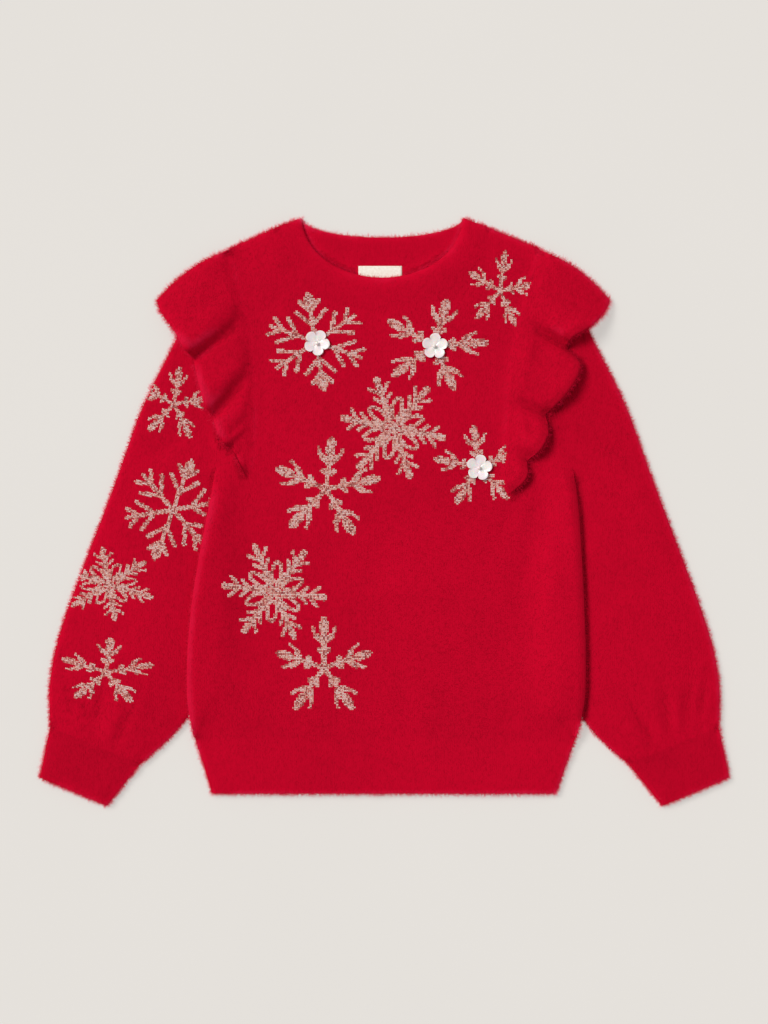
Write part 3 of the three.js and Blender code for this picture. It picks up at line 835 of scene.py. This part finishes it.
def settle(node, piece, skin):
    """Brings the cloth to the skin over its seams, in place and shading, and gives it the skin's tone with
    its painted light and shade.
    """
    mesh = piece.data
    points, normals = np.empty(3 * len(mesh.vertices)), np.empty(3 * len(mesh.vertices))
    mesh.vertices.foreach_get("co", points)
    mesh.vertices.foreach_get("normal", normals)
    points, normals = points.reshape(-1, 3), normals.reshape(-1, 3)
    columns = np.round((points[:, 0] - skin["x"][0]) / (SKIN["step"] * MM)).astype(int)
    rows = np.round((points[:, 1] - skin["y"][0]) / (SKIN["step"] * MM)).astype(int)
    lift = skin["height"][rows, columns] - points[:, 2]
    low = (normals[:, 2] > 0.05) & (lift > -1.5 * MM) & (lift < 1.3 * SKIN["raise"] * MM)
    low &= skin["seam"][rows, columns] > 0.05
    low &= points[:, 2] > skin["seen"][rows, columns] - 0.5 * MM
    points[low, 2] += lift[low]
    mesh.vertices.foreach_set("co", points.ravel())
    mesh.update()
    seen = points[:, 2] > skin["seen"][rows, columns] - 0.5 * MM
    # The skin's painted light and shade goes into the cloth's tone where it is seen
    tone = BASE_TONE - CLOTH[node].get("shade", 0) + np.where(seen, skin["painted_light_and_shade"][rows, columns], 0)
    mesh.attributes.new("tone", "FLOAT", "POINT").data.foreach_set("value", tone.astype(np.float32))
    share = np.clip(2 * skin["seam"][rows, columns], 0, 1) * seen
    blend = unit(normals + share[:, None] * (skin["normal"][rows, columns] - normals))
    corners, facing = np.empty(len(mesh.loops), np.int32), np.empty(3 * len(mesh.polygons))
    mesh.loops.foreach_get("vertex_index", corners)
    mesh.polygons.foreach_get("normal", facing)
    counts = np.array([polygon.loop_total for polygon in mesh.polygons])
    chosen = np.repeat(facing[2::3] > 0.3, counts) & (share[corners] > 0)
    mesh.normals_split_custom_set(np.where(chosen[:, None], blend[corners], 0).tolist())


def grow(node, number, skin, made):
    """The node's pile from above: fine tapering blades, brushed down the garment in slow swirls."""
    rng = np.random.default_rng(number)
    style = CLOTH[node]
    rows, columns = np.nonzero(skin["owner"] == number)
    if not len(rows):
        return
    weight = skin["crowd"][rows, columns]
    count = int(style["density"] * weight.sum() * SKIN["step"] ** 2)
    pick = rng.choice(len(rows), count, p=weight / weight.sum())
    rows, columns = rows[pick], columns[pick]
    offset = (rng.random((2, count)) - 0.5) * SKIN["step"] * MM
    out = skin["normal"][rows, columns]
    across, down = skin["x"][columns] + offset[0], skin["y"][rows] + offset[1]
    root = np.stack([across, down, skin["height"][rows, columns]], 1)
    painted_light_and_shade = skin["painted_light_and_shade"][rows, columns]
    keep = ~in_flakes(node, root[:, 0] / MM, root[:, 1] / MM) | (rng.random(count) < BLADE["stray"])
    low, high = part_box("neck_label")
    from_label = np.abs(root[:, :2] - ((low + high) / 2)[:2])
    on_label = (from_label < np.array((high - low)[:2]) / 2 + MM).all(axis=1)
    keep &= ~on_label | (root[:, 2] > high.z + 2 * MM)
    root, out, painted_light_and_shade = root[keep], out[keep], painted_light_and_shade[keep]
    count = len(root)
    x, y = root[:, 0] / MM, root[:, 1] / MM
    flow = -math.pi / 2 + 0.7 * np.sin(x / 38 + 1.7 * np.sin(y / 57)) + 0.5 * np.sin(y / 29 + x / 71)
    flow = flow + rng.normal(0, 1.2, count)
    way = np.stack([np.cos(flow), np.sin(flow), np.zeros(count)], axis=1)
    way[:, :2] += 1.6 * out[:, :2] + BLADE["combed"] * skin["push"][rows, columns][keep]
    way = unit(way - out * (way * out).sum(axis=1, keepdims=True))
    raised = rng.random(count) < BLADE["raised"]
    steep, flat = rng.uniform(0.25, 0.55, count), rng.uniform(0.03, 0.24, count)
    tilt = np.where(raised, steep, flat)[:, None]
    length = style["length"] * MM * rng.uniform(0.6, 1.25, count)[:, None]
    way = way * np.cos(tilt) + out * np.sin(tilt)
    across = unit(np.cross(out, way)) * BLADE["width"] * MM / 2
    root = root - out * 0.2 * MM
    points = np.stack([root + across, root - across, root + way * length], axis=1)
    normals = unit(out + rng.normal(0, 0.05, (count, 3)))
    # The skin's painted light and shade goes into each blade's tone
    tone = BASE_TONE - style.get("shade", 0) + rng.normal(0, 0.02, count) + painted_light_and_shade
    tone = np.clip(tone[:, None] + np.array([-0.015, -0.015, 0.06]), 0, 1)
    faces = np.arange(3 * count).reshape(-1, 3)
    points, normals = points.reshape(-1, 3), np.repeat(normals, 3, axis=0)
    pile = mesh_object("pile_" + node, points, faces, made, tone.ravel(), normals)
    dress(pile, "pile_knit")


def fringe(node, number, cloth, cover, made):
    """Bent hairs that stand out from the node's bare rims, and a flattened sparse pile on its underside."""
    rng = np.random.default_rng(50 + number)
    corners = triangles(cloth)
    normal = np.cross(corners[:, 1] - corners[:, 0], corners[:, 2] - corners[:, 0])
    area = np.linalg.norm(normal, axis=1) / 2
    normal = unit(normal)
    rim, under = np.abs(normal[:, 2]) < UPRIGHT, normal[:, 2] < -UPRIGHT
    reach = COVER * MM * (0.25 if node.startswith("ruffle") else 1)
    bare, over = rim | under, np.zeros(len(corners), bool)
    for i in np.flatnonzero(bare):
        start = Vector(corners[i].mean(axis=0)) + Vector(normal[i]) * 0.2 * MM
        bare[i] = cover.ray_cast(start, Vector(normal[i]), reach)[0] is None
        aside = Vector((normal[i, 0], normal[i, 1], 0))
        if rim[i]:
            bare[i] &= cover.ray_cast(start, aside, reach)[0] is None
        # What lies beside a rim tells an open edge from one over other cloth or one that is joined to it
        for far in (1, 3, 6) if rim[i] else ():
            beside = start + aside * far * MM
            below = cover.ray_cast(beside, Vector(-UP))[0]
            over[i] |= below is not None
            bare[i] &= below is None or far > 1 or start.z - below.z > SKIN["joined"] * MM
            top = cover.ray_cast(beside + Vector(UP) * 0.06, Vector(-UP))[0]
            bare[i] &= top is None or far != 3 or start.z - top.z > 0.5 * SKIN["joined"] * MM
    shaggy = FRINGE["shaggy"] if node.startswith("ruffle") else 1.0
    weight = area * bare * np.where(rim, BLADE["fringe_density"] * shaggy, BLADE["under_density"])
    weight = weight * np.where(over, FRINGE["over_neck" if node == "neckband_front" else "over_cloth"], 1)
    count = int(weight.sum() / MM**2)
    if count == 0:
        return
    pick = rng.choice(len(corners), count, p=weight / weight.sum())
    a, b = rng.random((2, count, 1))
    a, b = np.where(a + b > 1, 1 - a, a), np.where(a + b > 1, 1 - b, b)
    chosen, out, rim = corners[pick], normal[pick], rim[pick][:, None]
    root = chosen[:, 0] + a * (chosen[:, 1] - chosen[:, 0]) + b * (chosen[:, 2] - chosen[:, 0])
    x, y = root[:, :1] / MM, root[:, 1:2] / MM
    clump = np.sin(x * 1.9 + 2.3 * np.sin(y / 3.1)) * np.sin(y * 1.7 + 1.9 * np.sin(x / 2.7))
    way = np.where(rim, unit(out * [1, 1, 0.4]), 0) + rng.normal(0, 1, (count, 3)) * np.where(rim, 0.32, 1)
    way = unit(way + UP * np.where(rim, 0.15, 0) + np.cross(UP, out) * clump * 0.45)
    bend = unit(way + rng.normal(0, 0.45, (count, 3)))
    length = FRINGE["short"] + (FRINGE["long"] - FRINGE["short"]) * rng.random((count, 1)) ** 2.0
    length = length * (1 + 0.35 * clump) * shaggy
    half = np.where(rim, BLADE["fringe_width"], BLADE["width"]) * MM / 2
    first, second = way * length * MM / 2, bend * length * MM / 2
    across = unit(np.cross(UP, first)) * half
    root = root - out * 0.3 * MM
    knee = root + first
    points = np.stack([root, knee - across, knee + across, knee + second], axis=1)
    flat = (0.1 + 0.35 * rng.random((count, 1))) * MM
    points[:, :, 2] = np.where(rim, np.maximum(points[:, :, 2], 0.1 * MM), flat)
    faces = (np.arange(count) * 4).reshape(-1, 1, 1) + np.array([(0, 1, 2), (1, 3, 2)])
    normals = np.where(rim, unit(out * 0.12 + UP), -UP)
    free = rim & ~over[pick][:, None]
    # Painted shade and light: hairs over other cloth on rims turned from the light are painted darker, and
    # hairs over the open floor are painted pale
    painted_shade = np.clip(0.3 + out[:, :1] * AWAY[0] + out[:, 1:2] * AWAY[1], 0, 1)
    painted_shade, contrast = (0.7 - 0.06 * painted_shade, 0.8) if node.startswith("ruffle") else (0.58 - 0.18 * painted_shade, 0.5)
    bright = np.where(free, 0.86, painted_shade) + rng.normal(0, 0.05, (count, 1))
    tone = bright + np.where(free, 1.0, contrast) * np.array([-0.12, 0.06, 0.06, 0.2])
    points, faces, tone = points.reshape(-1, 3), faces.reshape(-1, 3), np.clip(tone, 0, 1).ravel()
    hairs = mesh_object("fringe_" + node, points, faces, made, tone, np.repeat(normals, 4, axis=0))
    dress(hairs, "pile_knit")


# Trims


def sequin(name, made):
    """A cupped rosette of round petals with a fine crease between them, in place of the plain one."""
    low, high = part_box(name)
    centre = (low + high) / 2
    turn = {"flower_one": -0.17, "flower_two": 0.27, "flower_three": 0.14}[name]
    around, rings = 14 * FLOWER["petals"], 12
    angle = np.linspace(0, 2 * math.pi, around, endpoint=False)
    petal = np.abs(np.cos(FLOWER["petals"] * angle / 2))
    points = []
    for skin in (1, -1):
        for k in range(rings):
            share = 0.08 + 0.92 * k / (rings - 1)
            lobe = FLOWER["waist"] + (1 - FLOWER["waist"]) * petal**0.55
            radius = FLOWER["radius"] * share * (1 + (lobe - 1) * share**1.5)
            cup = FLOWER["cup"] * share**2 + 0.55 * (petal**0.7 - 0.6) * math.sin(math.pi * min(share, 0.9))
            round_off = math.sqrt(max(0.0, 1 - max(0.0, (share - 0.9) / 0.1) ** 2))
            lift = cup + (0.5 + 0.5 * skin * round_off) * FLOWER["thickness"]
            ring = [radius * np.cos(angle + turn), radius * np.sin(angle + turn), lift]
            points.append(np.stack(np.broadcast_arrays(*ring), axis=1) * MM)
    points = np.concatenate(points) + np.array([centre.x, centre.y, low.z])
    faces = []
    for i in range(around):
        j = (i + 1) % around
        for k in range(rings - 1):
            a, b = k * around, (k + 1) * around
            faces += [(a + i, b + i, b + j), (a + i, b + j, a + j)]
            a, b = a + rings * around, b + rings * around
            faces += [(a + i, b + j, b + i), (a + i, a + j, b + j)]
        lower = rings * around
        outer = (rings - 1) * around
        rim = lower + outer
        faces += [(outer + i, rim + i, rim + j), (outer + i, rim + j, outer + j)]
        faces += [(i, lower + j, lower + i), (i, j, lower + j)]
    piece = mesh_object("petals_" + name, points, faces, made)
    dress(piece, "pearl", name)


def bead(name, made):
    """A round bead, drilled through for its thread."""
    low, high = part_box(name)
    work = bmesh.new()
    bmesh.ops.create_uvsphere(work, u_segments=24, v_segments=14, radius=(high.x - low.x) / 2)
    for vertex in work.verts:
        hole = 0.15 * math.exp(-((vertex.co.xy.length / (0.3 * MM)) ** 2))
        vertex.co.z -= math.copysign(hole * MM, vertex.co.z)
        vertex.co += (low + high) / 2
    mesh = bpy.data.meshes.new("drilled_" + name)
    work.to_mesh(mesh)
    work.free()
    mesh.polygons.foreach_set("use_smooth", np.ones(len(mesh.polygons), bool))
    mesh.materials.append(made)
    piece = bpy.data.objects.new(mesh.name, mesh)
    bpy.context.scene.collection.objects.link(piece)
    dress(piece, "pearl", name)


def label(made):
    """A bare woven label, gently waved, with a faint fold at each end."""
    low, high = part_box("neck_label")
    size = high - low
    columns, rows = 40, 16
    points = []
    for skin in (1, -1):
        for j in range(rows + 1):
            for i in range(columns + 1):
                u, v = i / columns, j / rows
                edge = min(u, 1 - u, v, 1 - v)
                fold = 0.1 * math.exp(-(((min(u, 1 - u) - 0.05) / 0.02) ** 2))
                wave = 0.12 * math.sin(5 * u + 0.6) * math.sin(math.pi * v)
                thick = 0.24 * min(1.0, edge / 0.03) ** 0.5
                z = 0.34 + wave + skin * thick + (fold if skin > 0 else 0)
                points.append((low.x + u * size.x, low.y + v * size.y, low.z + z * MM))
    faces = []
    count = (rows + 1) * (columns + 1)
    for j in range(rows):
        for i in range(columns):
            a = j * (columns + 1) + i
            b = a + columns + 1
            faces += [(a, a + 1, b + 1), (a, b + 1, b)]
            faces += [(count + a, count + b + 1, count + a + 1), (count + a, count + b, count + b + 1)]
    loop = list(range(columns + 1))
    loop += [j * (columns + 1) + columns for j in range(1, rows + 1)]
    loop += [rows * (columns + 1) + i for i in range(columns - 1, -1, -1)]
    loop += [j * (columns + 1) for j in range(rows - 1, 0, -1)]
    for a, b in zip(loop, loop[1:] + loop[:1]):
        faces += [(a, count + a, count + b), (a, count + b, b)]
    piece = mesh_object("woven_label", points, faces, made)
    dress(piece, "label_tape", "neck_label")


# The stage


def stage():
    """A plain pale surface, soft light from the upper left, and the camera straight above."""
    made, tree, shader = material("surface", Roughness=0.85, Specular_IOR_Level=0.2)
    paint(tree, shader, cloud(tree, 3.0), [(0.2, linear(146, 142, 138)), (0.8, linear(149, 145, 141))])
    shader.inputs["Emission Color"].default_value = linear(229, 226, 221)
    shader.inputs["Emission Strength"].default_value = 0.6
    side = 4.0
    corners = [(-side, -side, 0), (side, -side, 0), (side, side, 0), (-side, side, 0)]
    floor = mesh_object("surface", corners, [(0, 1, 2), (0, 2, 3)], made)

    lamp = bpy.data.lights.new("window", "SUN")
    lamp.energy = WINDOW["strength"]
    lamp.angle = math.radians(WINDOW["spread"])
    lamp.color = (1.0, 0.985, 0.965)
    sun = bpy.data.objects.new("window", lamp)
    sun.rotation_euler = Vector(WINDOW["from"]).to_track_quat("Z", "Y").to_euler()
    bpy.context.scene.collection.objects.link(sun)

    world = bpy.data.worlds.new("room")
    world.use_nodes = True
    world.node_tree.nodes["Background"].inputs["Color"].default_value = (0.97, 0.985, 1.0, 1)
    world.node_tree.nodes["Background"].inputs["Strength"].default_value = 0.45
    bpy.context.scene.world = world

    data = bpy.data.cameras.new("camera")
    data.sensor_width = SENSOR
    data.lens = SENSOR * CAMERA_DISTANCE / (PHOTO["height"] * PHOTO["mm_per_pixel"] * MM)
    camera = bpy.data.objects.new("camera", data)
    camera.location = (-0.5 * PHOTO["mm_per_pixel"] * MM, 0, CAMERA_DISTANCE)
    bpy.context.scene.collection.objects.link(camera)
    bpy.context.scene.camera = camera
    bpy.context.scene.view_settings.view_transform = "Standard"


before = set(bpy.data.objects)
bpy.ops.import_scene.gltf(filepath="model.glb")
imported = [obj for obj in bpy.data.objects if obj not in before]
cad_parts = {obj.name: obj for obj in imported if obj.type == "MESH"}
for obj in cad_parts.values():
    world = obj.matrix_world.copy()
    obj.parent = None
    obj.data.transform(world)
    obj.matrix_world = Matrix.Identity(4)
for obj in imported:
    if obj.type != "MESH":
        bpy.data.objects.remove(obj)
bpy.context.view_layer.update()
stage()

knit, blades = knit_material(), pile_material()
solids = tree_of(np.concatenate([triangles(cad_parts[node]) for node in CLOTH]))
shells = {}
for node, style in CLOTH.items():
    below = None
    if node.startswith("ruffle"):
        below = tree_of(np.concatenate([triangles(shells[name]) for name in RESTS_ON[node]]))
    shells[node] = shell(node, style["levels"], solids, below, knit)
for node, piece in shells.items():
    dress(piece, "pile_knit", node)

skin = skin_of(shells)
for node, piece in shells.items():
    settle(node, piece, skin)
every = tree_of(np.concatenate([triangles(piece) for piece in shells.values()]))
yarn, ground = lurex_material(), ground_material()
for index, flake in enumerate(FLAKES):
    knit_flake(index, flake, tree_of(triangles(shells[flake["on"]])), every, yarn, ground)

for number, (node, piece) in enumerate(shells.items()):
    grow(node, number, skin, blades)
    fringe(node, number, piece, every, blades)

pearl = pearl_material()
for number in ("one", "two", "three"):
    sequin("flower_" + number, pearl)
    bead("bead_" + number, pearl)
label(tape_material())
